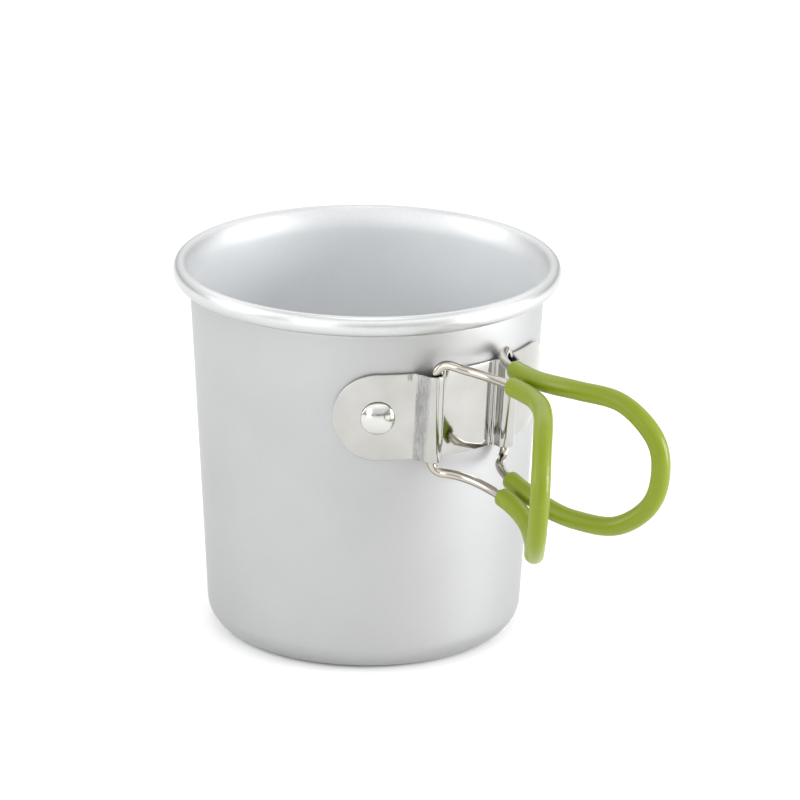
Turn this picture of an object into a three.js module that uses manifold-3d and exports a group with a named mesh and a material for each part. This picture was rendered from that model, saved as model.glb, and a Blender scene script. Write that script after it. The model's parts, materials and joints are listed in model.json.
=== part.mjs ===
// Aluminium camping cup with two folding wire handles.
// Millimetres. +Z up, origin at the middle of the base, handles towards +X.
// "left" is the -Y side and "right" the +Y side, as seen by someone facing the handles.
import * as THREE from 'three';
import { mergeVertices } from 'three/addons/utils/BufferGeometryUtils.js';
import Module from 'manifold-3d';

const wasm = await Module();
wasm.setup();

// ---------------------------------------------------------------- driving dimensions
const CUP = {
  height: 91.4,        // base to the top of the rolled rim
  sheet: 0.9,          // wall thickness
  baseCorner: 6.75,    // outside radius where the wall meets the floor
  lowRadius: 37.98,    // outside radius just above the base corner
  topRadius: 42.5,     // outside radius just under the rim
};
const RIM = {
  outerRadius: 46.42,  // outside of the rolled bead
  halfWidth: 1.81,
  halfHeight: 2.44,
  sheet: 0.7,
  tuck: -140,          // where the curl ends, degrees round its own section
  // how the wall flares into the curl, as [outwards, up] from the top of its outside
  neck: [[0, 0], [0.16, 0.8], [0.55, 1.65]],
  flare: [[0.02, 2.59], [-0.38, 1.59], [-0.68, 0.59], [-0.9, -0.6]],
};
const STRIP = {
  centreZ: 65.75,
  height: 21.5,
  sheet: 0.5,
  gap: 0.3,            // clear of the cup wall
  endAngle: 45.4,      // degrees either side of the middle
  bendRadius: 1.4,
  // round channel that holds the wire, at mid height, measured to the middle of the sheet
  channelOut: 43.1,    // its centre, from the cup's axis
  channelSide: 10.6,   // its centre, either side of the middle
  channelRadius: 1.95,
  creaseSide: 8.9,     // where the sheet leaves the middle plate for the channel
  footSide: 13.75,     // where it comes back to the cup as the ear
};
const RIVET = {
  angle: 30.9,         // degrees either side of the middle
  headRadius: 4.05,
  headHeight: 1.8,
  shankRadius: 1.9,
  holeRadius: 2.2,
  tailRadius: 3.1,
  tailHeight: 0.8,
  edge: 0.3,           // upright edge of the head, and the tail's eased corner
  headGap: 0.25,       // between the strip and the head
  tailGap: 0.4,        // between the cup's inside and the tail
};
const WIRE = {
  radius: 1.1,
  pivotOut: 1.62,      // pivot line outside the wall plane of the middle of the strip
  pivotSide: 10.53,    // pivot line either side of the middle
  elbow: 2.9,          // bend where the wire leaves the strip
  buttGap: 0.4,        // half the gap between the two wire ends inside the strip
  // loop outline as [along the arm, up], elbow to elbow
  outline: [
    [7.5, 13.3], [25.3, 14.8], [41.7, 16.2], [53.2, 15.3], [61.9, 7.9], [63.3, 0],
    [61, -7.7], [52.9, -14.4], [41.8, -15.3], [25.2, -13.6], [7.7, -13.4],
  ],
  // sideways curvature of the loop in 1/mm, every 18 mm along the arm
  curvature: [0.082, 0.0107, 0.0348, -0.004],
  curvatureStep: 18,
};
const SLEEVE = { radius: 2.25, bore: 1.4 };
const HANDLES = {
  // heading of the arms as they leave the strip (degrees, 0 = straight out), lean of the
  // pivot line from vertical, and where the sleeve starts on the upper and lower arm
  left: { side: -1, heading: -50.7, lean: 4.5, sleeveTop: 22.4, sleeveLow: 22 },
  right: { side: 1, heading: -60.3, lean: 1.25, sleeveTop: 17.6, sleeveLow: 17.4 },
};

// How finely the curves are cut into flats.
const FINE = {
  cupSegments: 48,
  rivetSegments: 18,
  holeSides: 20,
  foldSteps: 4,
  channelSteps: 9,
  elbowSteps: 6,
  wireSides: 8,
  wireSteps: 96,
  sleeveSides: 10,
  boreSides: 8,
  sleeveSteps: 50,
  rollStep: 0.1,       // mm along the arm
};

// ---------------------------------------------------------------- helpers
const rad = THREE.MathUtils.degToRad;
const beadBottom = CUP.height - 2 * RIM.halfHeight;
const wallSlope = (CUP.topRadius - CUP.lowRadius) / (beadBottom - CUP.baseCorner);
const wallRadius = (z) => CUP.lowRadius + wallSlope * (z - CUP.baseCorner);
const wallLean = Math.atan(wallSlope);

// Weld a geometry to bare positions, drop collapsed triangles and make it face outwards.
function solid(geometry) {
  const bare = new THREE.BufferGeometry();
  bare.setAttribute('position', geometry.getAttribute('position').clone());
  if (geometry.index) bare.setIndex(geometry.index.clone());
  const welded = mergeVertices(bare, 1e-4);
  const index = welded.index.array;
  const p = welded.getAttribute('position').array;
  const kept = [];
  let volume = 0;
  for (let i = 0; i < index.length; i += 3) {
    const [a, b, c] = [index[i], index[i + 1], index[i + 2]];
    if (a === b || b === c || c === a) continue;
    kept.push(a, b, c);
    const A = new THREE.Vector3().fromArray(p, 3 * a);
    const B = new THREE.Vector3().fromArray(p, 3 * b);
    const C = new THREE.Vector3().fromArray(p, 3 * c);
    volume += A.dot(B.cross(C)) / 6;
  }
  if (volume < 0) kept.reverse();
  welded.setIndex(kept);
  return welded;
}

function toManifold(geometry) {
  const g = solid(geometry);
  return new wasm.Manifold(new wasm.Mesh({
    numProp: 3,
    vertProperties: new Float32Array(g.getAttribute('position').array),
    triVerts: new Uint32Array(g.index.array),
  }));
}

function fromManifold(manifold) {
  const mesh = manifold.getMesh();
  const g = new THREE.BufferGeometry();
  g.setAttribute('position', new THREE.BufferAttribute(new Float32Array(mesh.vertProperties), 3));
  g.setIndex(Array.from(mesh.triVerts));
  return g;
}

function named(name, geometry, color, roughness, metalness) {
  const material = new THREE.MeshStandardMaterial({ color, roughness, metalness });
  const clean = geometry.index ? geometry : solid(geometry);
  clean.computeVertexNormals();
  const mesh = new THREE.Mesh(clean, material);
  mesh.name = name;
  return mesh;
}

// Points on an ellipse in a section, from one angle to another in degrees.
function ellipse(cx, cy, a, b, from, to, count) {
  const points = [];
  for (let i = 0; i <= count; i += 1) {
    const t = rad(from + ((to - from) * i) / count);
    points.push(new THREE.Vector2(cx + a * Math.cos(t), cy + b * Math.sin(t)));
  }
  return points;
}

// Line a rivet sits on: out through the wall, square to its slope.
function rivetMatrix(side) {
  const angle = rad(RIVET.angle) * side;
  const around = new THREE.Matrix4().makeRotationZ(angle);
  const tilt = new THREE.Matrix4().makeRotationY(wallLean);
  const out = new THREE.Matrix4().makeTranslation(wallRadius(STRIP.centreZ), 0, STRIP.centreZ);
  const yToX = new THREE.Matrix4().makeRotationZ(-Math.PI / 2);
  return around.multiply(out).multiply(tilt).multiply(yToX);
}

function rivetHole(side) {
  const through = 12;
  const cutter = new THREE.CylinderGeometry(
    RIVET.holeRadius, RIVET.holeRadius, through, FINE.holeSides,
  );
  cutter.applyMatrix4(rivetMatrix(side));
  return toManifold(cutter);
}

// ---------------------------------------------------------------- cup
function cupProfile() {
  const rimR = RIM.outerRadius - RIM.halfWidth;
  const rimZ = CUP.height - RIM.halfHeight;
  const flat = CUP.lowRadius - CUP.baseCorner;
  const t = CUP.sheet;
  const lean = THREE.MathUtils.radToDeg(wallLean);
  const outerCorner = ellipse(flat, CUP.baseCorner, CUP.baseCorner, CUP.baseCorner, -90, -lean, 6);
  const innerRadius = CUP.baseCorner - t;
  const innerCorner = ellipse(flat, CUP.baseCorner, innerRadius, innerRadius, -lean, -90, 5);
  const hollow = [RIM.halfWidth - RIM.sheet, RIM.halfHeight - RIM.sheet];
  const fromWall = ([out, up]) => new THREE.Vector2(CUP.topRadius + out, beadBottom + up);
  return [
    new THREE.Vector2(0, 0),
    ...outerCorner,
    ...RIM.neck.map(fromWall),
    ...ellipse(rimR, rimZ, hollow[0], hollow[1], 180, RIM.tuck, 8),
    ...ellipse(rimR, rimZ, RIM.halfWidth, RIM.halfHeight, RIM.tuck, 150, 11),
    ...RIM.flare.map(fromWall),
    ...innerCorner,
    new THREE.Vector2(0, t),
  ];
}

function cupBody() {
  const lathe = new THREE.LatheGeometry(cupProfile(), FINE.cupSegments);
  lathe.rotateX(Math.PI / 2);
  let body = toManifold(lathe);
  for (const side of [-1, 1]) body = body.subtract(rivetHole(side));
  return fromManifold(body);
}

// ---------------------------------------------------------------- handle strip
const stripRadius = wallRadius(STRIP.centreZ) + STRIP.gap + STRIP.sheet / 2;
const onStrip = (angle) => (
  new THREE.Vector2(stripRadius * Math.cos(angle), stripRadius * Math.sin(angle))
);

// Rounded fold at a corner, between the directions of the points before and after it.
function fold(before, corner, after) {
  const a = before.clone().sub(corner).normalize();
  const b = after.clone().sub(corner).normalize();
  const reach = STRIP.bendRadius / Math.tan(Math.acos(a.dot(b)) / 2);
  const start = corner.clone().addScaledVector(a, reach);
  const end = corner.clone().addScaledVector(b, reach);
  return new THREE.QuadraticBezierCurve(start, corner, end).getPoints(FINE.foldSteps);
}

// Half section of the strip at mid height, middle of the sheet, from the centre outwards.
function stripSection() {
  const centre = new THREE.Vector2(STRIP.channelOut, STRIP.channelSide);
  const creaseAngle = Math.asin(STRIP.creaseSide / stripRadius);
  const footAngle = Math.asin(STRIP.footSide / stripRadius);
  const crease = onStrip(creaseAngle);
  const foot = onStrip(footAngle);
  // where the straight walls run into the round of the channel
  const touch = (point, turn) => {
    const d = point.clone().sub(centre);
    return Math.atan2(d.y, d.x) + turn * Math.acos(STRIP.channelRadius / d.length());
  };
  const channel = [];
  const from = touch(crease, 1);
  const to = touch(foot, -1);
  for (let i = 0; i <= FINE.channelSteps; i += 1) {
    const angle = from + ((to - from) * i) / FINE.channelSteps;
    channel.push(new THREE.Vector2(
      centre.x + STRIP.channelRadius * Math.cos(angle),
      centre.y + STRIP.channelRadius * Math.sin(angle),
    ));
  }
  const nearby = 0.02;
  const path = [0, 1, 2, 3].map((i) => onStrip((creaseAngle * i) / 4));
  path.push(...fold(onStrip(creaseAngle - nearby), crease, channel[0]));
  path.push(...channel);
  path.push(...fold(channel[channel.length - 1], foot, onStrip(footAngle + nearby)));
  // the ear, with columns gathered towards its rounded end
  const end = rad(STRIP.endAngle);
  const round = STRIP.height / 2 / stripRadius;
  const earStart = footAngle + 2 * nearby;
  for (let i = 0; i < 3; i += 1) path.push(onStrip(earStart + ((end - round - earStart) * i) / 3));
  for (let i = 0; i <= 9; i += 1) path.push(onStrip(end - round + round * Math.sin(rad(10 * i))));
  return path;
}

function handleStrip() {
  const half = stripSection();
  const mirrored = half.slice(1).reverse().map((p) => new THREE.Vector2(p.x, -p.y));
  const path = [...mirrored, ...half];
  const columns = path.length - 1;
  const rows = 4;
  const box = new THREE.BoxGeometry(columns, rows, 2, columns, rows, 1);
  const position = box.getAttribute('position');
  for (let i = 0; i < position.count; i += 1) {
    const column = Math.round(position.getX(i) + columns / 2);
    const p = path[column];
    const before = path[Math.max(column - 1, 0)];
    const after = path[Math.min(column + 1, columns)];
    const along = after.clone().sub(before).normalize();
    const outward = new THREE.Vector2(along.y, -along.x);
    const face = Math.sign(position.getZ(i)) * (STRIP.sheet / 2);
    const q = p.clone().addScaledVector(outward, face);
    // rounded ends: the columns get shorter over the last half circle of each ear
    const past = stripRadius * (Math.abs(Math.atan2(p.y, p.x)) - rad(STRIP.endAngle)) + STRIP.height / 2;
    const cut = Math.min(Math.max(past, 0), STRIP.height / 2);
    const halfHeight = Math.sqrt(Math.max((STRIP.height / 2) ** 2 - cut ** 2, 0));
    const up = (position.getY(i) / (rows / 2)) * halfHeight;
    const r = q.length();
    const grown = (r + up * wallSlope) / r;
    position.setXYZ(i, q.x * grown, q.y * grown, STRIP.centreZ + up);
  }
  let strip = toManifold(box);
  for (const side of [-1, 1]) strip = strip.subtract(rivetHole(side));
  return fromManifold(strip);
}

// ---------------------------------------------------------------- rivets
function rivet(side) {
  const under = STRIP.gap + STRIP.sheet + RIVET.headGap;
  const tail = -(CUP.sheet + RIVET.tailGap);
  const foot = tail - RIVET.tailHeight;
  // shallow round head, part of a ball
  const rise = RIVET.headHeight - RIVET.edge;
  const ball = (RIVET.headRadius ** 2 + rise ** 2) / (2 * rise);
  const start = (Math.acos(RIVET.headRadius / ball) * 180) / Math.PI;
  const dome = ellipse(0, under + RIVET.headHeight - ball, ball, ball, start, 90, 5);
  dome[dome.length - 1].x = 0;
  const profile = [
    new THREE.Vector2(0, foot),
    new THREE.Vector2(RIVET.tailRadius - RIVET.edge, foot),
    new THREE.Vector2(RIVET.tailRadius, foot + RIVET.edge),
    new THREE.Vector2(RIVET.tailRadius, tail),
    new THREE.Vector2(RIVET.shankRadius, tail),
    new THREE.Vector2(RIVET.shankRadius, under),
    new THREE.Vector2(RIVET.headRadius, under),
    ...dome,
  ];
  const lathe = new THREE.LatheGeometry(profile, FINE.rivetSegments);
  lathe.applyMatrix4(rivetMatrix(side));
  return solid(lathe);
}

// ---------------------------------------------------------------- handles
// Outline of one wire loop in its own flat pattern: x along the arm, y up.
function flatPattern() {
  const edge = STRIP.height / 2;
  const e = WIRE.elbow;
  const stub = [];
  for (let i = 0; i <= 6; i += 1) stub.push([0, WIRE.buttGap + ((edge - WIRE.buttGap) * i) / 6]);
  for (let i = 1; i < FINE.elbowSteps; i += 1) {
    const t = (rad(90) * i) / FINE.elbowSteps;
    stub.push([e - e * Math.cos(t), edge + e * Math.sin(t)]);
  }
  const knots = [[e, edge + e], ...WIRE.outline, [e, -edge - e]];
  const loop = new THREE.CatmullRomCurve3(
    knots.map(([x, y]) => new THREE.Vector3(x, y, 0)), false, 'centripetal',
  );
  const mirrored = stub.map(([x, y]) => [x, -y]).reverse();
  return [...stub, ...loop.getSpacedPoints(120).map((p) => [p.x, p.y]), ...mirrored];
}

// Sideways roll of the arms: distance along the arm to [out, sideways] in plan.
function rolled(heading) {
  const fine = FINE.rollStep;
  const table = [[0, 0]];
  let angle = rad(heading);
  const reach = Math.max(...WIRE.outline.map(([along]) => along));
  for (let s = 0; s <= reach + fine; s += fine) {
    const knot = Math.min(Math.floor(s / WIRE.curvatureStep), WIRE.curvature.length - 2);
    const t = Math.min(s / WIRE.curvatureStep - knot, 1);
    const bend = WIRE.curvature[knot] * (1 - t) + WIRE.curvature[knot + 1] * t;
    const last = table[table.length - 1];
    const middle = angle + (bend * fine) / 2;
    table.push([last[0] + fine * Math.cos(middle), last[1] + fine * Math.sin(middle)]);
    angle += bend * fine;
  }
  return (s) => {
    const k = Math.min(Math.floor(Math.max(s, 0) / fine), table.length - 2);
    const f = Math.max(s, 0) / fine - k;
    return [
      table[k][0] * (1 - f) + table[k + 1][0] * f,
      table[k][1] * (1 - f) + table[k + 1][1] * f,
    ];
  };
}

function centreLine({ side, heading, lean }) {
  const roll = rolled(heading);
  const tilt = rad(lean);
  const pivot = new THREE.Vector3(
    wallRadius(STRIP.centreZ) + WIRE.pivotOut,
    side * WIRE.pivotSide,
    STRIP.centreZ,
  );
  return flatPattern().map(([along, up]) => {
    const [out, sideways] = roll(along);
    return {
      along,
      up,
      point: new THREE.Vector3(
        pivot.x + out * Math.cos(tilt) + up * Math.sin(tilt),
        pivot.y + side * sideways,
        pivot.z - out * Math.sin(tilt) + up * Math.cos(tilt),
      ),
    };
  });
}

function circle(radius, count) {
  const points = [];
  for (let i = 0; i < count; i += 1) {
    const t = (2 * Math.PI * (i + 0.5)) / count;
    points.push(new THREE.Vector2(radius * Math.cos(t), radius * Math.sin(t)));
  }
  return points;
}

function wireLoop(handle) {
  const points = centreLine(handle).map(({ point }) => point);
  const path = new THREE.CatmullRomCurve3(points, false, 'centripetal');
  const section = new THREE.Shape(circle(WIRE.radius, FINE.wireSides));
  return solid(new THREE.ExtrudeGeometry(section, {
    steps: FINE.wireSteps, extrudePath: path, bevelEnabled: false,
  }));
}

function sleeve(handle) {
  const covered = centreLine(handle).filter(({ along, up }) => (
    along >= (up > 0 ? handle.sleeveTop : handle.sleeveLow)
  ));
  const path = new THREE.CatmullRomCurve3(covered.map(({ point }) => point), false, 'centripetal');
  const section = new THREE.Shape(circle(SLEEVE.radius, FINE.sleeveSides));
  section.holes.push(new THREE.Path(circle(SLEEVE.bore, FINE.boreSides)));
  return solid(new THREE.ExtrudeGeometry(section, {
    steps: FINE.sleeveSteps, extrudePath: path, bevelEnabled: false,
  }));
}

// ---------------------------------------------------------------- assembly
const cup = new THREE.Group();
cup.name = 'cup';
cup.add(named('pot_body', cupBody(), 0xc9cccd, 0.42, 1));
cup.add(named('handle_strip', handleStrip(), 0xd6d3cd, 0.16, 1));
cup.add(named('rivet_left', rivet(-1), 0xdedcd8, 0.12, 1));
cup.add(named('rivet_right', rivet(1), 0xdedcd8, 0.12, 1));

const part = new THREE.Group();
part.name = 'folding_handle_cup';
part.add(cup);
for (const [name, handle] of Object.entries(HANDLES)) {
  const group = new THREE.Group();
  group.name = `handle_${name}`;
  group.add(named(`handle_wire_${name}`, wireLoop(handle), 0xd9d4cb, 0.14, 1));
  group.add(named(`handle_sleeve_${name}`, sleeve(handle), 0x96b030, 0.35, 0));
  part.add(group);
}

export default part;
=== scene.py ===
import json
import math

import bmesh
import bpy
from mathutils import Matrix, Vector


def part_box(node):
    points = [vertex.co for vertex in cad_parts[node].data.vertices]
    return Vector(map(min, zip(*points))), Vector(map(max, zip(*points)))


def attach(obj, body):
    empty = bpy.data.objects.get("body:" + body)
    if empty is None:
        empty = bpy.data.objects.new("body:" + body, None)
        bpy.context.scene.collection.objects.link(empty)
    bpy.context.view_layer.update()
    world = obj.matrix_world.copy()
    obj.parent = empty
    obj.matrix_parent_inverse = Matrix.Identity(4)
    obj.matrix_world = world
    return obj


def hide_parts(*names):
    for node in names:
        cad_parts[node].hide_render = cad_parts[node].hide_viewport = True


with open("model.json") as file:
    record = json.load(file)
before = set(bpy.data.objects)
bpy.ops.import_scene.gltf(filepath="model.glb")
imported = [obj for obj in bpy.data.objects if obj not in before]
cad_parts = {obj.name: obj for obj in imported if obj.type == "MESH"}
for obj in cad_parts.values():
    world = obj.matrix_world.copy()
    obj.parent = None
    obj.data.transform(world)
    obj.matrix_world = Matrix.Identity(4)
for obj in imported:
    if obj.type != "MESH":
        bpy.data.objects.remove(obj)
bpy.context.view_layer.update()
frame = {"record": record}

# Camping cup with two folding wire handles, in metres. +Z up, handles towards +X.
MM = 0.001
MICRON = 0.000001
RAD = math.radians
SCENE = bpy.context.scene


# ------------------------------------------------------------------ sizes
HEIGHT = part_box("pot_body")[1].z
WALL = 0.9 * MM
BASE_CORNER = 6.75 * MM
LOW_RADIUS = 37.98 * MM        # outside, just above the base corner
TOP_RADIUS = 42.5 * MM         # outside, just under the rim
BEAD_RADIUS = 46.42 * MM       # outside of the rolled rim
BEAD_WIDTH = 1.81 * MM         # half widths of the rolled section
BEAD_RISE = 2.44 * MM
BEAD_SHEET = 0.7 * MM
BEAD_END = -140.0              # degrees round the section where the curl stops
BEAD_START = 150.0             # and where its outside begins
BEAD_BOTTOM = HEIGHT - 2 * BEAD_RISE
# how the wall flares into the curl, in mm as (outwards, up) from the top of its outside
NECK = [(0, 0), (0.16, 0.8), (0.55, 1.65)]
FLARE = [(0.02, 2.59), (-0.38, 1.59), (-0.68, 0.59), (-0.9, -0.6)]
FLARE_FOOT = 80 * MM           # height where the inside is straight again
STRAIGHT_TOP = 78 * MM         # highest plain ring of the inside wall
SLOPE = (TOP_RADIUS - LOW_RADIUS) / (BEAD_BOTTOM - BASE_CORNER)

STRIP_Z = sum(z for (_, _, z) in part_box("handle_strip")) / 2
STRIP_HEIGHT = 21.5 * MM
STRIP_SHEET = 0.5 * MM
STRIP_GAP = 0.3 * MM
STRIP_END = 45.4               # degrees either side of the middle
STRIP_BEND = 1.4 * MM
STRIP_EASE = 0.13 * MM         # rounding of the sheet's cut edges
# round channel that holds the wire, at mid height, measured to the middle of the sheet
CHANNEL_OUT = 43.1 * MM
CHANNEL_SIDE = 10.6 * MM
CHANNEL_RADIUS = 1.95 * MM
CREASE_SIDE = 8.9 * MM         # where the sheet leaves the middle plate for the channel
FOOT_SIDE = 13.75 * MM         # where it comes back to the cup as the ear
NEARBY = 0.02                  # radians, a short way along the strip
PLATE_PART = 0.8               # of the way from the middle to the crease, before the fold

RIVET_ANGLE = 30.9             # degrees either side of the middle
RIVET_HEAD = 4.05 * MM
RIVET_RISE = 1.5 * MM          # of the round head above its edge
RIVET_EDGE = 0.3 * MM
RIVET_EASE = 0.12 * MM         # rounding under the head
RIVET_SHANK = 1.9 * MM
RIVET_TAIL = 3.1 * MM
TAIL_HEIGHT = 0.8 * MM
TAIL_EASE = 0.3 * MM
HEAD_GAP = 0.2 * MM            # between the strip and the head
TAIL_GAP = 0.35 * MM           # between the cup's inside and the tail

WIRE_RADIUS = 1.1 * MM
WIRE_NOSE = 0.25 * MM          # easing of the wire's cut ends
ELBOW = 2.9                    # mm, as the loop's other sizes are
BUTT_GAP = 0.4
LOOP = [
    (7.5, 13.3), (25.3, 14.8), (41.7, 16.2), (53.2, 15.3), (61.9, 7.9), (63.3, 0),
    (61, -7.7), (52.9, -14.4), (41.8, -15.3), (25.2, -13.6), (7.7, -13.4),
]
BENDING = [0.082, 0.0107, 0.0348, -0.004]   # sideways, 1/mm
BENDING_STEP = 18.0            # mm along the arm between those values
ARM_LENGTH = 72.0              # longer than the loop reaches
SLEEVE_RADIUS = 2.25 * MM
SLEEVE_BORE = 1.25 * MM
SLEEVE_LIP = 0.18 * MM         # easing of the sleeve's ends
SLEEVE_RIPPLE = 0.035 * MM     # how far its skin waves in and out
SLEEVE_WAVES = [(0.37, 0.8), (0.113, 0.3)]  # radians per mm, and where each starts
# middle of an eased corner, as parts of the easing, along and across
EASE_ALONG = 0.3
EASE_ACROSS = 0.28
# heading of the arms as they leave the strip (degrees, 0 = straight out), and where the
# sleeve starts on the upper and lower arm, in mm
HANDLES = {
    "left": {"side": -1, "heading": -50.7, "sleeve_top": 22.4, "sleeve_low": 22.0},
    "right": {"side": 1, "heading": -60.3, "sleeve_top": 17.6, "sleeve_low": 17.4},
}
JOINTS = {j["child"]: j for j in frame["record"]["behaviour"]["joints"]}

# How finely the curves are cut. Steps are counts, and spacings are along the curve.
CUP_SEGMENTS = 192
WALL_RINGS = 40
FLOOR_RINGS = 6
OUTER_CORNER_STEPS = 18
INNER_CORNER_STEPS = 16
CURL_INSIDE_STEPS = 26
CURL_OUTSIDE_STEPS = 44
NECK_SPACING = 0.3 * MM
FLARE_SPACING = 0.35 * MM
FOLD_STEPS = 8
CHANNEL_STEPS = 28
PLATE_STEPS = 12
RAMP_STEPS = 5
EAR_STEPS = 10
EAR_END_STEPS = 40
STRIP_ROWS = 10
EDGE_ANGLES = (30, 60, 90)     # round a cut edge of the sheet
RIVET_SEGMENTS = 64
TAIL_STEPS = 6
EDGE_STEPS = 4
HEAD_STEPS = 24
STUB_STEPS = 12
ELBOW_STEPS = 10
LOOP_SPACING = 0.6             # mm
ROLL_STEP = 0.1                # mm
WIRE_SIDES = 24
WIRE_SPACING = 0.7 * MM
SLEEVE_SIDES = 32
SKIN_SPACING = 0.8 * MM
BORE_SPACING = 1.6 * MM

# ------------------------------------------------------------------ finishes
# Linear colours, as the darkest and lightest that a surface wanders between.
OUTSIDE_ALUMINIUM = ((0.445, 0.45, 0.45), (0.48, 0.485, 0.485))
# painted light: the cup's inside is the same aluminium as the outside, painted much lighter to
# stand in for the light that fills its hollow
INSIDE_ALUMINIUM_PAINTED_LIGHTER = ((0.75, 0.765, 0.775), (0.78, 0.795, 0.805))
# painted highlight: the rolled rim is the same sheet as the wall, painted brighter for the light
# it catches
ROLLED_RIM_PAINTED_HIGHLIGHT = ((0.60, 0.605, 0.61), (0.64, 0.645, 0.65))
# the strip steel's colour, blotched between these two as a painted reflection
POLISHED_STEEL = ((0.415, 0.41, 0.39), (0.472, 0.467, 0.447))
# darker colour of the strip's flanks between each channel and its ear
DARK_FLANK_STEEL = ((0.25, 0.25, 0.245), (0.42, 0.415, 0.405))
RIVET_ALUMINIUM = ((0.56, 0.555, 0.54), (0.62, 0.615, 0.60))
NICKEL = ((0.40, 0.37, 0.325), (0.52, 0.485, 0.43))
GREEN_PLASTIC = ((0.168, 0.224, 0.002), (0.196, 0.251, 0.004))
PALE_FLOOR = (0.96, 0.96, 0.96)
OUTSIDE_ROUGHNESS = (0.5, 0.6)
INSIDE_ROUGHNESS = (0.67, 0.77)
FLANK_ROUGHNESS = 0.36
# parts of a noise's range, from nearly all of it to its middle
WIDE = (0.25, 0.75)
MOST = (0.3, 0.7)
MIDDLE = (0.35, 0.65)

# ------------------------------------------------------------------ studio
# name, place and size in metres, power in watts
SOFTBOXES = [
    ("right_softbox", (0.6, 0.8, 0.2), (0.3, 0.46), 2.1),
    ("near_right_softbox", (0.42, 0.34, 0.12), (0.16, 0.24), 1.4),
    ("near_left_softbox", (0.22, -0.46, 0.16), (0.16, 0.3), 0.33),
    ("far_left_softbox", (-0.5, -1.0, 0.4), (0.5, 0.6), 3.3),
    ("top_softbox", (0.0, 0.0, 1.2), (0.45, 0.45), 1.0),
]
SOFTBOX_TARGET = (0, 0, 0.05)
# brightness of the room, by the sine of the angle above the floor
ROOM_SHADES = [(0.0, 0.0), (0.2, 0.56), (0.45, 0.57), (0.7, 1.0), (0.88, 0.5)]
ROOM_STRENGTH = 1.85
FLOOR_HALF_WIDTH = 6.0

CAMERA_TARGET = Vector((4.73, 6.73, 55.9)) * MM
CAMERA_AROUND = RAD(-35.1)     # seen from between +X and -Y
CAMERA_PITCH = 0.33            # radians down
CAMERA_ROLL = 0.01364          # radians
CAMERA_DISTANCE = 1.3249       # metres
CAMERA_LENS = 247.5            # mm
CAMERA_SENSOR = 36.0           # mm
CAMERA_CLIP = 0.05             # metres


def wall_radius(z):
    return LOW_RADIUS + SLOPE * (z - BASE_CORNER)


# ------------------------------------------------------------------ mesh helpers
def finish_mesh(name, bm, material, body, node):
    """Make a smooth piece that rides on a body and stands for a CAD node."""
    bmesh.ops.recalc_face_normals(bm, faces=bm.faces)
    mesh = bpy.data.meshes.new(name)
    bm.to_mesh(mesh)
    bm.free()
    for polygon in mesh.polygons:
        polygon.use_smooth = True
    piece = bpy.data.objects.new(name, mesh)
    SCENE.collection.objects.link(piece)
    mesh.materials.append(material)
    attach(piece, body)
    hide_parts(node)
    return piece


def evenly(start, end, count):
    return [start + (end - start) * i / count for i in range(count + 1)]


def spaced(start, end, spacing):
    return evenly(start, end, max(1, round(abs(end - start) / spacing)))


def turn(count):
    return [2 * math.pi * i / count for i in range(count)]


def join_rings(bm, rings):
    """Skin each ring to the next. A ring of one vertex is a pole."""
    for low, high in zip(rings, rings[1:]):
        count = max(len(low), len(high))
        for i in range(count):
            j = (i + 1) % count
            corners = (
                low[i % len(low)], low[j % len(low)],
                high[j % len(high)], high[i % len(high)],
            )
            bm.faces.new(list(dict.fromkeys(corners)))


def lathe(profile, segments):
    """Turn (radius, height) points about Z. Points at radius 0 become poles."""
    bm = bmesh.new()
    rings = []
    for r, z in profile:
        angles = turn(segments) if r > MICRON else [0]
        rings.append([bm.verts.new((r * math.cos(a), r * math.sin(a), z)) for a in angles])
    join_rings(bm, rings)
    return bm


def arc(cx, cy, a, b, start, end, count):
    angles = [RAD(angle) for angle in evenly(start, end, count)]
    return [(cx + a * math.cos(t), cy + b * math.sin(t)) for t in angles]


def smooth_line(points, spacing):
    """Points on a centripetal Catmull-Rom curve through the given vectors."""
    ends = [2 * points[0] - points[1]] + list(points) + [2 * points[-1] - points[-2]]
    out = [points[0].copy()]
    for p0, p1, p2, p3 in zip(ends, ends[1:], ends[2:], ends[3:]):
        t1 = (p1 - p0).length ** 0.5
        t2 = t1 + (p2 - p1).length ** 0.5
        t3 = t2 + (p3 - p2).length ** 0.5
        steps = max(1, round((p2 - p1).length / spacing))
        for t in evenly(t1, t2, steps)[1:]:
            a1 = p0.lerp(p1, t / t1)
            a2 = p1.lerp(p2, (t - t1) / (t2 - t1))
            a3 = p2.lerp(p3, (t - t2) / (t3 - t2))
            b1 = a1.lerp(a2, t / t2)
            b2 = a2.lerp(a3, (t - t1) / (t3 - t1))
            out.append(b1.lerp(b2, (t - t1) / (t2 - t1)))
    return out


class Track:
    """A polyline with lengths and frames that don't twist."""

    def __init__(self, points):
        self.points = points
        self.at = [0.0]
        for a, b in zip(points, points[1:]):
            self.at.append(self.at[-1] + (b - a).length)
        self.length = self.at[-1]
        before = points[:1] + points[:-1]
        after = points[1:] + points[-1:]
        tangents = [(b - a).normalized() for a, b in zip(before, after)]
        side = tangents[0].orthogonal().normalized()
        self.frames = []
        for last, now in zip([tangents[0]] + tangents, tangents):
            side = last.rotation_difference(now) @ side
            side = (side - now * side.dot(now)).normalized()
            self.frames.append((side, now.cross(side)))
        self.cursor = 0

    def place(self, s):
        """Point at a distance along the track, and the two directions across it."""
        s = min(max(s, 0.0), self.length)
        while self.cursor > 0 and self.at[self.cursor] > s:
            self.cursor -= 1
        while self.cursor < len(self.at) - 2 and self.at[self.cursor + 1] < s:
            self.cursor += 1
        i = self.cursor
        f = (s - self.at[i]) / (self.at[i + 1] - self.at[i])
        point = self.points[i].lerp(self.points[i + 1], f)
        u, v = (a.lerp(b, f).normalized() for a, b in zip(self.frames[i], self.frames[i + 1]))
        return point, u, v


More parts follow.
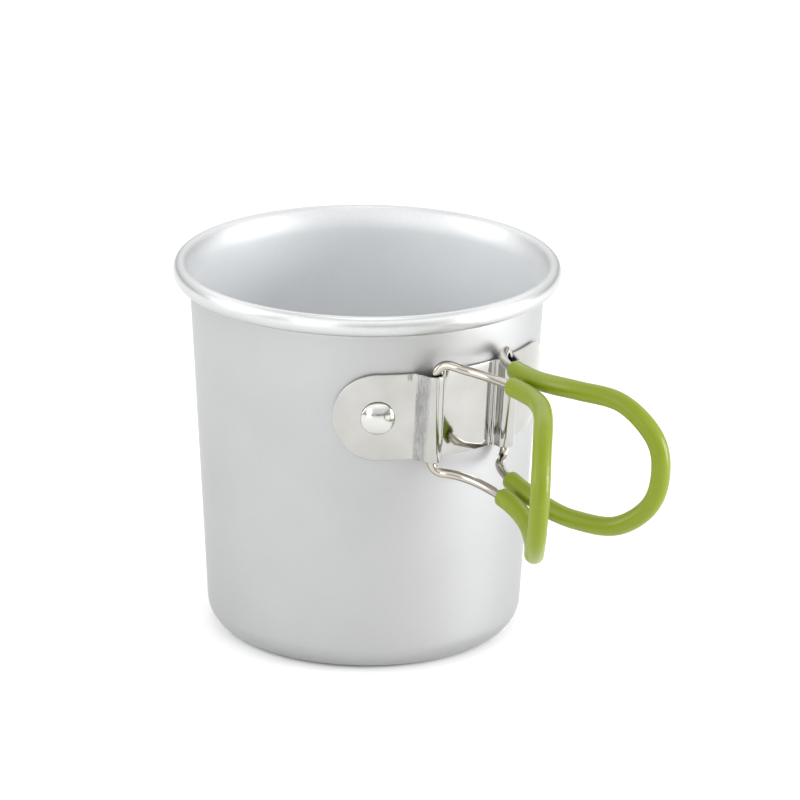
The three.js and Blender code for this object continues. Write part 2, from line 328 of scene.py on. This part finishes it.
def sweep(track, stations, sides):
    """Skin rings of given (distance, radius) along a track.

    Radius 0 closes an end. If the last ring is open, it joins the first.
    """
    bm = bmesh.new()
    rings = []
    for s, r in stations:
        point, u, v = track.place(s)
        angles = turn(sides) if r > 0 else [0]
        across = [u * (r * math.cos(a)) + v * (r * math.sin(a)) for a in angles]
        rings.append([bm.verts.new(point + offset) for offset in across])
    if stations[-1][1] > 0:
        rings.append(rings[0])
    join_rings(bm, rings)
    return bm


# ------------------------------------------------------------------ materials
class Nodes:
    """Small helper for building one procedural material."""

    def __init__(self, name, metallic=0.0):
        self.material = bpy.data.materials.new(name)
        self.material.use_nodes = True
        self.tree = self.material.node_tree
        self.shader = self.tree.nodes["Principled BSDF"]
        self.point = self.node("ShaderNodeTexCoord").outputs["Object"]
        self.shade(Metallic=metallic)

    def put(self, value, socket):
        """Link a socket to an output, or set it to a number, a vector or a colour."""
        if hasattr(value, "is_linked"):
            self.tree.links.new(value, socket)
        elif socket.type == "RGBA":
            socket.default_value = (*value, 1)
        else:
            socket.default_value = value

    def fill(self, node, inputs):
        for name, value in inputs.items():
            self.put(value, node.inputs[name.replace("_", " ")])

    def node(self, kind, **inputs):
        made = self.tree.nodes.new(kind)
        self.fill(made, inputs)
        return made

    def shade(self, **inputs):
        self.fill(self.shader, inputs)

    def axis(self, name):
        return self.node("ShaderNodeSeparateXYZ", Vector=self.point).outputs[name]

    def noise(self, vector, scale, detail=4.0, roughness=0.5):
        """Noise at a scale per metre, so that 2000 is a grain of half a millimetre."""
        made = self.node(
            "ShaderNodeTexNoise", Vector=vector, Scale=scale, Detail=detail, Roughness=roughness,
        )
        return made.outputs["Fac"]

    def stretched(self, vector, scale):
        return self.node("ShaderNodeMapping", Vector=vector, Scale=scale).outputs["Vector"]

    def around(self):
        """Coordinates that run round the cup and up its wall."""
        angle = self.math("ARCTAN2", self.axis("Y"), self.axis("X"))
        return self.node("ShaderNodeCombineXYZ", X=angle, Y=self.axis("Z")).outputs["Vector"]

    def spread(self, value, source, result=(0.0, 1.0)):
        """Carry one range of values over to another, held at its ends."""
        made = self.node("ShaderNodeMapRange", Value=value)
        ends = ("From Min", "From Max", "To Min", "To Max")
        for name, number in zip(ends, source + result):
            made.inputs[name].default_value = number
        return made.outputs["Result"]

    def math(self, operation, *values):
        made = self.node("ShaderNodeMath")
        made.operation = operation
        for socket, value in zip(made.inputs, values):
            self.put(value, socket)
        return made.outputs[0]

    def blend(self, factor, *colors):
        made = self.node("ShaderNodeMix", Factor=factor)
        made.data_type = "RGBA"
        color_inputs = [socket for socket in made.inputs if socket.type == "RGBA"]
        for socket, color in zip(color_inputs, colors):
            self.put(color, socket)
        return next(socket for socket in made.outputs if socket.type == "RGBA")

    def bump(self, height, depth, strength=1.0, **under):
        """Bump of a depth in metres, on top of another's Normal if one is given."""
        made = self.node(
            "ShaderNodeBump", Height=height, Distance=depth, Strength=strength, **under,
        )
        return made.outputs["Normal"]


def satin_aluminium(name, colors, roughness_range):
    """Fine blasted aluminium. On the rolled rim it turns smoother, and its colour is painted
    brighter there, a painted highlight.
    """
    m = Nodes(name, metallic=1.0)
    cloud = m.noise(m.point, 28.0, detail=3.0)
    grain = m.noise(m.point, 2600.0, detail=3.0, roughness=0.6)
    speckle = m.noise(m.point, 1500.0, detail=3.0, roughness=0.7)
    spun = m.noise(m.stretched(m.around(), (6.0, 5200.0, 1)), 1.0, detail=3.0, roughness=0.6)
    near_rim = m.spread(m.axis("Z"), (BEAD_BOTTOM - 1.5 * MM, HEIGHT - 1.2 * MM))
    wall = m.blend(m.spread(cloud, MOST), *colors)
    # painted highlight: near the top the colour turns to the rim's brighter painted colour
    rolled = m.blend(m.spread(speckle, MIDDLE), *ROLLED_RIM_PAINTED_HIGHLIGHT)
    satin = m.spread(grain, WIDE, roughness_range)
    smoother = m.spread(near_rim, (0.0, 1.0), (1.0, 0.6))
    fading = m.spread(near_rim, (0.0, 1.0), (1.0, 0.25))
    rings = m.bump(spun, 4 * MICRON)
    m.shade(
        Base_Color=m.blend(near_rim, wall, rolled),
        Roughness=m.math("MULTIPLY", satin, smoother),
        Normal=m.bump(grain, 8 * MICRON, fading, Normal=rings),
    )
    return m.material


def polished_steel():
    """Polished sheet. The flanks of the two wire channels are darker, rougher and streaked."""
    m = Nodes("polished_strip_steel", metallic=1.0)
    brushed = m.noise(m.stretched(m.around(), (900.0, 60.0, 1)), 1.0, roughness=0.6)
    # painted reflection: broad random blotches in the sheet's colour stand in for blurred
    # reflections on the polished steel
    painted_reflection_blotches = m.noise(m.point, 130.0)
    streaks = m.noise(m.stretched(m.point, (1800.0, 1800.0, 420.0)), 1.0, roughness=0.7)
    side = m.math("ABSOLUTE", m.axis("Y"))
    past_channel = m.spread(side, (CHANNEL_SIDE + 1.9 * MM, CHANNEL_SIDE + 2.3 * MM))
    before_ear = m.spread(side, (FOOT_SIDE - 0.1 * MM, FOOT_SIDE + 0.25 * MM), (1.0, 0.0))
    # the flanks between each channel and its ear: darker colour, rougher and streaked
    flank_mask = m.math("MULTIPLY", past_channel, before_ear)
    polish = m.blend(m.spread(painted_reflection_blotches, MOST), *POLISHED_STEEL)
    flank_color = m.blend(m.spread(streaks, MIDDLE), *DARK_FLANK_STEEL)
    smooth = m.spread(brushed, MOST, (0.04, 0.09))
    fine = m.bump(brushed, 1.2 * MICRON)
    scratches = m.math("MULTIPLY", streaks, flank_mask)
    m.shade(
        Base_Color=m.blend(flank_mask, polish, flank_color),
        Roughness=m.math("MAXIMUM", smooth, m.math("MULTIPLY", flank_mask, FLANK_ROUGHNESS)),
        Normal=m.bump(scratches, 20 * MICRON, Normal=fine),
    )
    return m.material


def rivet_metal():
    m = Nodes("polished_rivet", metallic=1.0)
    mark = m.noise(m.point, 600.0)
    m.shade(
        Base_Color=m.blend(mark, *RIVET_ALUMINIUM),
        Roughness=m.spread(mark, MOST, (0.13, 0.22)),
        Normal=m.bump(mark, 6 * MICRON),
    )
    return m.material


def nickel_wire():
    m = Nodes("nickel_wire", metallic=1.0)
    pits = m.noise(m.point, 1500.0)
    patch = m.noise(m.point, 180.0, detail=2.0)
    m.shade(
        Base_Color=m.blend(patch, *NICKEL),
        Roughness=m.spread(pits, MOST, (0.07, 0.16)),
        Normal=m.bump(pits, 4 * MICRON),
    )
    return m.material


def green_sleeve():
    m = Nodes("green_sleeve_plastic")
    patch = m.noise(m.point, 90.0, detail=3.0)
    grain = m.noise(m.point, 1900.0)
    m.shade(
        Base_Color=m.blend(patch, *GREEN_PLASTIC),
        Roughness=m.spread(grain, MOST, (0.27, 0.38)),
        Normal=m.bump(grain, 12 * MICRON),
        IOR=1.44,
        Subsurface_Weight=0.05,
        Subsurface_Radius=(0.6, 0.8, 0.15),
        Subsurface_Scale=0.8 * MM,
    )
    return m.material


# ------------------------------------------------------------------ cup
def section_curve(points, spacing):
    """Smooth curve through points of the cup's section."""
    line = smooth_line([Vector((r, z, 0)) for r, z in points], spacing)
    return [(p.x, p.y) for p in line]


def build_pot(outside, inside):
    rim = (BEAD_RADIUS - BEAD_WIDTH, HEIGHT - BEAD_RISE)
    hollow = (BEAD_WIDTH - BEAD_SHEET, BEAD_RISE - BEAD_SHEET)
    flat = LOW_RADIUS - BASE_CORNER
    lean = math.degrees(math.atan(SLOPE))
    inner = BASE_CORNER - WALL
    neck, flare = (
        [(TOP_RADIUS + out * MM, BEAD_BOTTOM + up * MM) for out, up in points]
        for points in (NECK, FLARE)
    )
    floor_steps = evenly(0, flat, FLOOR_RINGS)[:-1]
    wall_steps = evenly(BASE_CORNER, BEAD_BOTTOM, WALL_RINGS)[1:-1]
    inside_curl = arc(*rim, *hollow, 180, BEAD_END, CURL_INSIDE_STEPS)
    outside_curl = arc(*rim, BEAD_WIDTH, BEAD_RISE, BEAD_END, BEAD_START, CURL_OUTSIDE_STEPS)
    foot = (wall_radius(FLARE_FOOT) - WALL, FLARE_FOOT)
    profile = [(r, 0) for r in floor_steps]
    profile += arc(flat, BASE_CORNER, BASE_CORNER, BASE_CORNER, -90, -lean, OUTER_CORNER_STEPS)
    profile += [(wall_radius(z), z) for z in wall_steps]
    profile += section_curve([profile[-1]] + neck + [inside_curl[0]], NECK_SPACING)[1:-1]
    profile += inside_curl
    profile += outside_curl
    profile += section_curve([outside_curl[-1]] + flare + [foot], FLARE_SPACING)[1:]
    below = [z for z in reversed(wall_steps) if z < STRAIGHT_TOP]
    profile += [(wall_radius(z) - WALL, z) for z in below]
    profile += arc(flat, BASE_CORNER, inner, inner, -lean, -90, INNER_CORNER_STEPS)
    profile += [(r, WALL) for r in reversed(floor_steps)]
    bm = lathe(profile, CUP_SEGMENTS)
    shell = finish_mesh("pot_shell", bm, outside, "cup", "pot_body")
    shell.data.materials.append(inside)
    # the inside faces and the inner floor take the copy painted lighter, as painted light inside
    # the cup
    for face in shell.data.polygons:
        middle = face.center
        inward = face.normal.x * middle.x + face.normal.y * middle.y < 0
        on_floor = abs(middle.z - WALL) < WALL / 10
        if on_floor or (inward and middle.z > WALL):
            face.material_index = 1


# ------------------------------------------------------------------ strip
STRIP_RADIUS = wall_radius(STRIP_Z) + STRIP_GAP + STRIP_SHEET / 2


def on_strip(angle):
    return Vector((STRIP_RADIUS * math.cos(angle), STRIP_RADIUS * math.sin(angle), 0))


def fold(before, corner, after):
    """Rounded fold of the sheet at a corner."""
    a = (before - corner).normalized()
    b = (after - corner).normalized()
    reach = STRIP_BEND / math.tan(a.angle(b) / 2)
    start = corner + a * reach
    end = corner + b * reach
    return [
        (1 - t) ** 2 * start + 2 * t * (1 - t) * corner + t * t * end
        for t in evenly(0, 1, FOLD_STEPS)
    ]


def strip_half():
    """Middle of the sheet at mid height, from the centre to one ear's end, as (out, side)."""
    centre = Vector((CHANNEL_OUT, CHANNEL_SIDE, 0))
    crease_angle = math.asin(CREASE_SIDE / STRIP_RADIUS)
    foot_angle = math.asin(FOOT_SIDE / STRIP_RADIUS)
    crease = on_strip(crease_angle)
    foot = on_strip(foot_angle)

    def touch(point, side):
        """Angle at which a straight wall from the point runs into the round of the channel."""
        d = point - centre
        return math.atan2(d.y, d.x) + side * math.acos(CHANNEL_RADIUS / d.length)

    channel = [
        centre + CHANNEL_RADIUS * Vector((math.cos(a), math.sin(a), 0))
        for a in evenly(touch(crease, 1), touch(foot, -1), CHANNEL_STEPS)
    ]
    path = [on_strip(a) for a in evenly(0, crease_angle * PLATE_PART, PLATE_STEPS)]
    path += fold(on_strip(crease_angle - NEARBY), crease, channel[0])
    path += channel
    ramp_end = fold(channel[-1], foot, on_strip(foot_angle + NEARBY))
    path += [channel[-1].lerp(ramp_end[0], t) for t in evenly(0, 1, RAMP_STEPS)[1:-1]]
    path += ramp_end
    # the ear, with columns gathered towards its rounded end
    round_part = STRIP_HEIGHT / 2 / STRIP_RADIUS
    round_start = RAD(STRIP_END) - round_part
    path += [on_strip(a) for a in evenly(foot_angle + 2 * NEARBY, round_start, EAR_STEPS)[:-1]]
    quarter = evenly(0, RAD(90), EAR_END_STEPS)
    path += [on_strip(round_start + round_part * math.sin(a)) for a in quarter]
    return path


def sheet_edge(half_height):
    """Outline of the strip's sheet cut across, as (up, depth), with eased edges."""
    face = STRIP_SHEET / 2
    flat = max(half_height - STRIP_EASE, 0)
    corner = [
        (flat + STRIP_EASE * math.sin(RAD(a)), face - STRIP_EASE + STRIP_EASE * math.cos(RAD(a)))
        for a in EDGE_ANGLES
    ]
    outer = [(up, face) for up in evenly(-flat, flat, STRIP_ROWS)]
    top = corner + [(up, -depth) for up, depth in reversed(corner)]
    inner = [(up, -depth) for up, depth in reversed(outer)]
    bottom = [(-up, -depth) for up, depth in top]
    return outer + top + inner + bottom


def build_strip(material):
    half = strip_half()
    path = [Vector((p.x, -p.y, 0)) for p in reversed(half[1:])] + half
    before = path[:1] + path[:-1]
    after = path[1:] + path[-1:]
    bm = bmesh.new()
    columns = []
    for p, a, b in zip(path, before, after):
        along = (b - a).normalized()
        outward = Vector((along.y, -along.x, 0))
        # rounded ends: the columns get shorter over the last half circle of each ear
        past = STRIP_RADIUS * (abs(math.atan2(p.y, p.x)) - RAD(STRIP_END)) + STRIP_HEIGHT / 2
        cut = min(max(past, 0), STRIP_HEIGHT / 2)
        half_height = math.sqrt(max((STRIP_HEIGHT / 2) ** 2 - cut ** 2, 0))
        column = []
        for up, depth in sheet_edge(half_height):
            q = p + outward * depth
            grown = (q.length + up * SLOPE) / q.length
            column.append(bm.verts.new((q.x * grown, q.y * grown, STRIP_Z + up)))
        columns.append(column)
    join_rings(bm, columns)
    bm.faces.new(columns[0])
    bm.faces.new(list(reversed(columns[-1])))
    bmesh.ops.remove_doubles(bm, verts=bm.verts, dist=MICRON)
    finish_mesh("strip_sheet", bm, material, "cup", "handle_strip")


# ------------------------------------------------------------------ rivets
def rivet_place(side):
    out = Matrix.Translation((wall_radius(STRIP_Z), 0, STRIP_Z))
    around = Matrix.Rotation(RAD(RIVET_ANGLE) * side, 4, "Z")
    lean = Matrix.Rotation(math.atan(SLOPE), 4, "Y")
    z_to_x = Matrix.Rotation(RAD(90), 4, "Y")
    return around @ out @ lean @ z_to_x


def build_rivet(name, side, material):
    under = STRIP_GAP + STRIP_SHEET + HEAD_GAP
    tail = -(WALL + TAIL_GAP)
    foot = tail - TAIL_HEIGHT
    ball = (RIVET_HEAD ** 2 + RIVET_RISE ** 2) / (2 * RIVET_RISE)
    top = under + RIVET_EDGE + RIVET_RISE
    rim = RIVET_HEAD - RIVET_EASE
    profile = [(0, foot), (RIVET_TAIL / 2, foot)]
    profile += arc(
        RIVET_TAIL - TAIL_EASE, foot + TAIL_EASE, TAIL_EASE, TAIL_EASE, -90, 0, TAIL_STEPS,
    )
    profile += [(RIVET_TAIL, tail), (RIVET_SHANK, tail), (RIVET_SHANK, under)]
    profile += arc(rim, under + RIVET_EASE, RIVET_EASE, RIVET_EASE, -90, 0, EDGE_STEPS)
    # shallow round head, part of a ball
    start = math.degrees(math.acos(rim / ball))
    profile += arc(0, top - ball, ball, ball, start, 90, HEAD_STEPS)
    bm = lathe(profile, RIVET_SEGMENTS)
    bm.transform(rivet_place(side))
    finish_mesh(f"{name}_turned", bm, material, "cup", name)


# ------------------------------------------------------------------ handles
def flat_pattern():
    """One wire loop before it is rolled: (along the arm, up) in millimetres."""
    edge = STRIP_HEIGHT / MM / 2
    stub = [(0, up) for up in evenly(BUTT_GAP, edge, STUB_STEPS)]
    elbow = [
        (ELBOW - ELBOW * math.cos(a), edge + ELBOW * math.sin(a))
        for a in evenly(0, RAD(90), ELBOW_STEPS)[1:-1]
    ]
    knots = [(ELBOW, edge + ELBOW)] + LOOP + [(ELBOW, -edge - ELBOW)]
    loop = [(p.x, p.y) for p in smooth_line([Vector((x, y, 0)) for x, y in knots], LOOP_SPACING)]
    mirrored = [(x, -y) for x, y in reversed(stub + elbow)]
    return stub + elbow + loop + mirrored


def roll(heading):
    """Distance along the arm to (out, sideways), for an arm rolled sideways in plan."""
    table = [(0.0, 0.0)]
    angle = RAD(heading)
    for i in range(round(ARM_LENGTH / ROLL_STEP)):
        s = i * ROLL_STEP
        knot = min(int(s / BENDING_STEP), len(BENDING) - 2)
        t = min(s / BENDING_STEP - knot, 1)
        bend = BENDING[knot] * (1 - t) + BENDING[knot + 1] * t
        middle = angle + bend * ROLL_STEP / 2
        x, y = table[-1]
        table.append((x + ROLL_STEP * math.cos(middle), y + ROLL_STEP * math.sin(middle)))
        angle += bend * ROLL_STEP

    def at(s):
        k = int(s / ROLL_STEP)
        f = s / ROLL_STEP - k
        return tuple(a * (1 - f) + b * f for a, b in zip(table[k], table[k + 1]))

    return at


def centre_line(name):
    """Points along one wire, as (along the arm, up, place)."""
    handle = HANDLES[name]
    joint = JOINTS[f"handle_{name}"]
    pivot = Vector(joint["pos_m"])
    up_axis = Vector(joint["axis"]) * handle["side"]
    out_axis = Vector((up_axis.z, 0, -up_axis.x))
    side_axis = Vector((0, handle["side"], 0))
    at = roll(handle["heading"])
    line = []
    for along, up in flat_pattern():
        out, sideways = at(along)
        point = pivot + (out_axis * out + side_axis * sideways + up_axis * up) * MM
        line.append((along, up, point))
    return line


def build_wire(name, material):
    track = Track([p for _, _, p in centre_line(name)])
    end = track.length
    r = WIRE_RADIUS
    eased = [(0, 0), (0, r - WIRE_NOSE), (WIRE_NOSE * EASE_ALONG, r - WIRE_NOSE * EASE_ACROSS)]
    stations = eased + [(s, r) for s in spaced(WIRE_NOSE, end - WIRE_NOSE, WIRE_SPACING)]
    stations += [(end - s, width) for s, width in reversed(eased)]
    bm = sweep(track, stations, WIRE_SIDES)
    body = f"handle_{name}"
    finish_mesh(f"wire_loop_{name}", bm, material, body, f"handle_wire_{name}")


def build_sleeve(name, material):
    handle = HANDLES[name]
    covered = [
        p for along, up, p in centre_line(name)
        if along >= (handle["sleeve_top"] if up > 0 else handle["sleeve_low"])
    ]
    track = Track(covered)
    end = track.length
    lip = SLEEVE_LIP
    eased = lip * EASE_ALONG
    lip_ring = [
        (lip, SLEEVE_BORE), (eased, SLEEVE_BORE + eased), (0, SLEEVE_BORE + lip),
        (0, SLEEVE_RADIUS - lip), (eased, SLEEVE_RADIUS - eased),
    ]
    skin = []
    for s in spaced(lip, end - lip, SKIN_SPACING):
        wave = math.prod(math.sin(s / MM * rate + start) for rate, start in SLEEVE_WAVES)
        skin.append((s, SLEEVE_RADIUS + SLEEVE_RIPPLE * wave))
    stations = lip_ring + skin
    stations += [(end - s, width) for s, width in reversed(lip_ring[1:])]
    stations += [(s, SLEEVE_BORE) for s in spaced(end - lip, lip, BORE_SPACING)[:-1]]
    bm = sweep(track, stations, SLEEVE_SIDES)
    body = f"handle_{name}"
    finish_mesh(f"sleeve_{name}", bm, material, body, f"handle_sleeve_{name}")


# ------------------------------------------------------------------ stage
def build_floor():
    bm = bmesh.new()
    bmesh.ops.create_grid(bm, x_segments=8, y_segments=8, size=FLOOR_HALF_WIDTH)
    mesh = bpy.data.meshes.new("floor")
    bm.to_mesh(mesh)
    bm.free()
    floor = bpy.data.objects.new("floor", mesh)
    SCENE.collection.objects.link(floor)
    m = Nodes("pale_floor")
    m.shade(Base_Color=PALE_FLOOR, Roughness=0.9, Specular_IOR_Level=0.1)
    mesh.materials.append(m.material)


def build_softbox(name, place, size, power):
    data = bpy.data.lights.new(name, "AREA")
    data.shape = "RECTANGLE"
    data.size, data.size_y = size
    data.energy = power
    lamp = bpy.data.objects.new(name, data)
    lamp.location = place
    towards = Vector(SOFTBOX_TARGET) - Vector(place)
    lamp.rotation_euler = towards.to_track_quat("-Z", "Y").to_euler()
    SCENE.collection.objects.link(lamp)


def build_lights():
    """Soft studio: bright ceiling, darker walls at eye level, and the softboxes."""
    world = bpy.data.worlds.new("studio")
    SCENE.world = world
    world.use_nodes = True
    tree = world.node_tree
    place = tree.nodes.new("ShaderNodeTexCoord")
    split = tree.nodes.new("ShaderNodeSeparateXYZ")
    ramp = tree.nodes.new("ShaderNodeValToRGB")
    background = tree.nodes["Background"]
    tree.links.new(place.outputs["Generated"], split.inputs["Vector"])
    tree.links.new(split.outputs["Z"], ramp.inputs["Fac"])
    tree.links.new(ramp.outputs["Color"], background.inputs["Color"])
    stops = ramp.color_ramp.elements
    while len(stops) < len(ROOM_SHADES):
        stops.new(0.5)
    for stop, (height, shade) in zip(stops, ROOM_SHADES):
        stop.position = height
        stop.color = (shade, shade, shade, 1)
    background.inputs["Strength"].default_value = ROOM_STRENGTH
    for softbox in SOFTBOXES:
        build_softbox(*softbox)
    SCENE.view_settings.view_transform = "Standard"


def build_camera():
    outward = Vector((math.cos(CAMERA_AROUND), math.sin(CAMERA_AROUND), 0))
    back = outward * math.cos(CAMERA_PITCH) + Vector((0, 0, math.sin(CAMERA_PITCH)))
    flat_right = Vector((-outward.y, outward.x, 0))
    flat_up = back.cross(flat_right)
    right = flat_right * math.cos(CAMERA_ROLL) + flat_up * math.sin(CAMERA_ROLL)
    up = back.cross(right)
    data = bpy.data.cameras.new("camera")
    data.sensor_width = CAMERA_SENSOR
    data.lens = CAMERA_LENS
    data.clip_start = CAMERA_CLIP
    camera = bpy.data.objects.new("camera", data)
    axes = Matrix((right, up, back)).transposed().to_4x4()
    camera.matrix_world = Matrix.Translation(CAMERA_TARGET + back * CAMERA_DISTANCE) @ axes
    SCENE.collection.objects.link(camera)
    SCENE.camera = camera


# ------------------------------------------------------------------ build
build_camera()
build_lights()
build_floor()
build_pot(
    satin_aluminium("satin_aluminium", OUTSIDE_ALUMINIUM, OUTSIDE_ROUGHNESS),
    # the inside: the same satin aluminium, painted lighter as painted light in the cup's hollow
    satin_aluminium("satin_aluminium_inside_painted_lighter", INSIDE_ALUMINIUM_PAINTED_LIGHTER, INSIDE_ROUGHNESS),
)
build_strip(polished_steel())
rivet_finish = rivet_metal()
build_rivet("rivet_left", -1, rivet_finish)
build_rivet("rivet_right", 1, rivet_finish)
wire_finish = nickel_wire()
sleeve_finish = green_sleeve()
for handle_name in HANDLES:
    build_wire(handle_name, wire_finish)
    build_sleeve(handle_name, sleeve_finish)
